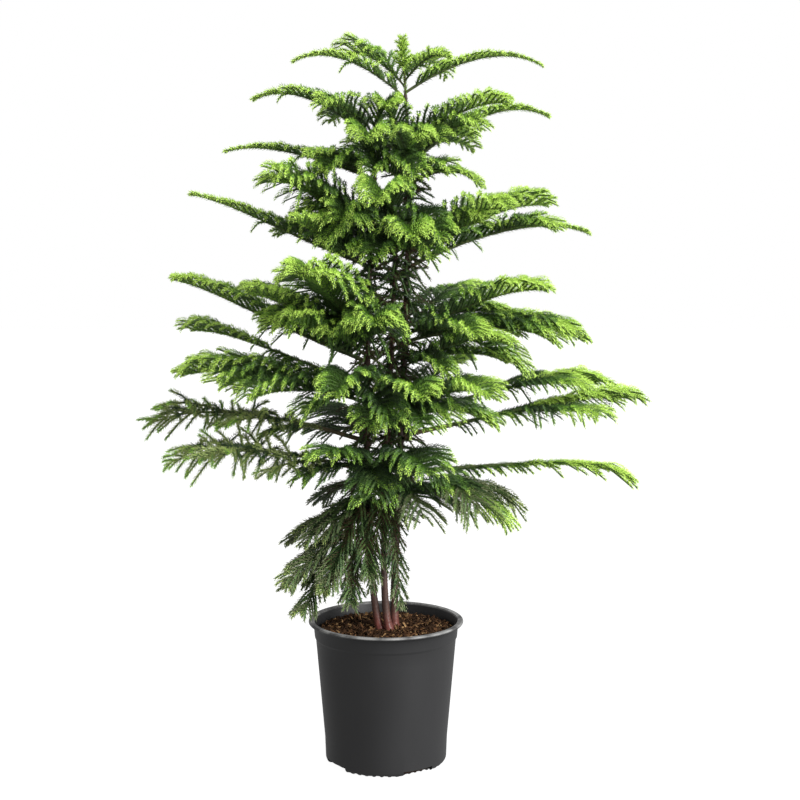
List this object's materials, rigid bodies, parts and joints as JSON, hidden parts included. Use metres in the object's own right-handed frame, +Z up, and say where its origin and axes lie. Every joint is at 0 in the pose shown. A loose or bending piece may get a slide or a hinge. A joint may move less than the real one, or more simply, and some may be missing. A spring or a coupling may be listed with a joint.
{
  "type": "potted norfolk island pine",
  "caption": "Young Norfolk Island pine in a black nursery pot: slim stems in one clump, with tiers of arching boughs and feathery fronds of soft needles.",
  "frame": {"origin": "middle of the pot's flat underside", "axes": "+Z up the stems, +X to the right and -Y towards the viewer in the pictured view"},
  "size_m": [0.7728, 0.4585, 1.1641],
  "materials": {
    "pot_plastic": "satin",
    "potting_mix": "matte",
    "bark": "satin",
    "bough_bark": "matte",
    "young_needles": "satin",
    "grown_needles": "satin",
    "old_needles": "satin"
  },
  "bodies": {
    "root": {"bough_left_8_1": "bough_bark", "bough_left_9_1": "bough_bark", "bough_right_7_1": "bough_bark", "bough_right_8_1": "bough_bark", "bough_right_9_1": "bough_bark", "foliage_left_10_1": "old_needles", "foliage_left_10_2": "old_needles", "foliage_left_10_3": "old_needles", "foliage_left_1_1": "young_needles", "foliage_left_2_1": "young_needles", "foliage_left_2_2": "young_needles", "foliage_left_3_1": "grown_needles", "foliage_left_4_1": "grown_needles", "foliage_left_4_2": "grown_needles", "foliage_left_4_3": "grown_needles", "foliage_left_5_1": "grown_needles", "foliage_left_5_2": "grown_needles", "foliage_left_5_3": "grown_needles", "foliage_left_5_4": "grown_needles", "foliage_left_6_1": "grown_needles", "foliage_left_7_1": "grown_needles", "foliage_left_7_2": "grown_needles", "foliage_left_8_1": "old_needles", "foliage_left_8_2": "old_needles", "foliage_left_9_1": "old_needles", "foliage_left_9_2": "old_needles", "foliage_middle_1_1": "young_needles", "foliage_middle_2_1": "young_needles", "foliage_middle_3_1": "grown_needles", "foliage_middle_4_1": "grown_needles", "foliage_middle_5_1": "grown_needles", "foliage_middle_6_1": "old_needles", "foliage_middle_7_1": "old_needles", "foliage_middle_7_2": "old_needles", "foliage_middle_7_3": "old_needles", "foliage_right_1_1": "young_needles", "foliage_right_1_2": "young_needles", "foliage_right_1_3": "young_needles", "foliage_right_1_4": "young_needles", "foliage_right_1_5": "young_needles", "foliage_right_2_1": "young_needles", "foliage_right_2_2": "young_needles", "foliage_right_3_1": "young_needles", "foliage_right_4_1": "grown_needles", "foliage_right_4_2": "grown_needles", "foliage_right_4_3": "grown_needles", "foliage_right_5_1": "grown_needles", "foliage_right_5_2": "grown_needles", "foliage_right_5_3": "grown_needles", "foliage_right_6_1": "grown_needles", "foliage_right_7_1": "grown_needles", "foliage_right_7_2": "grown_needles", "foliage_right_7_3": "grown_needles", "foliage_right_8_1": "old_needles", "foliage_right_9_1": "old_needles", "pot": "pot_plastic", "soil": "potting_mix", "stem_left": "bark", "stem_middle": "bark", "stem_right": "bark"}
  },
  "joints": []
}
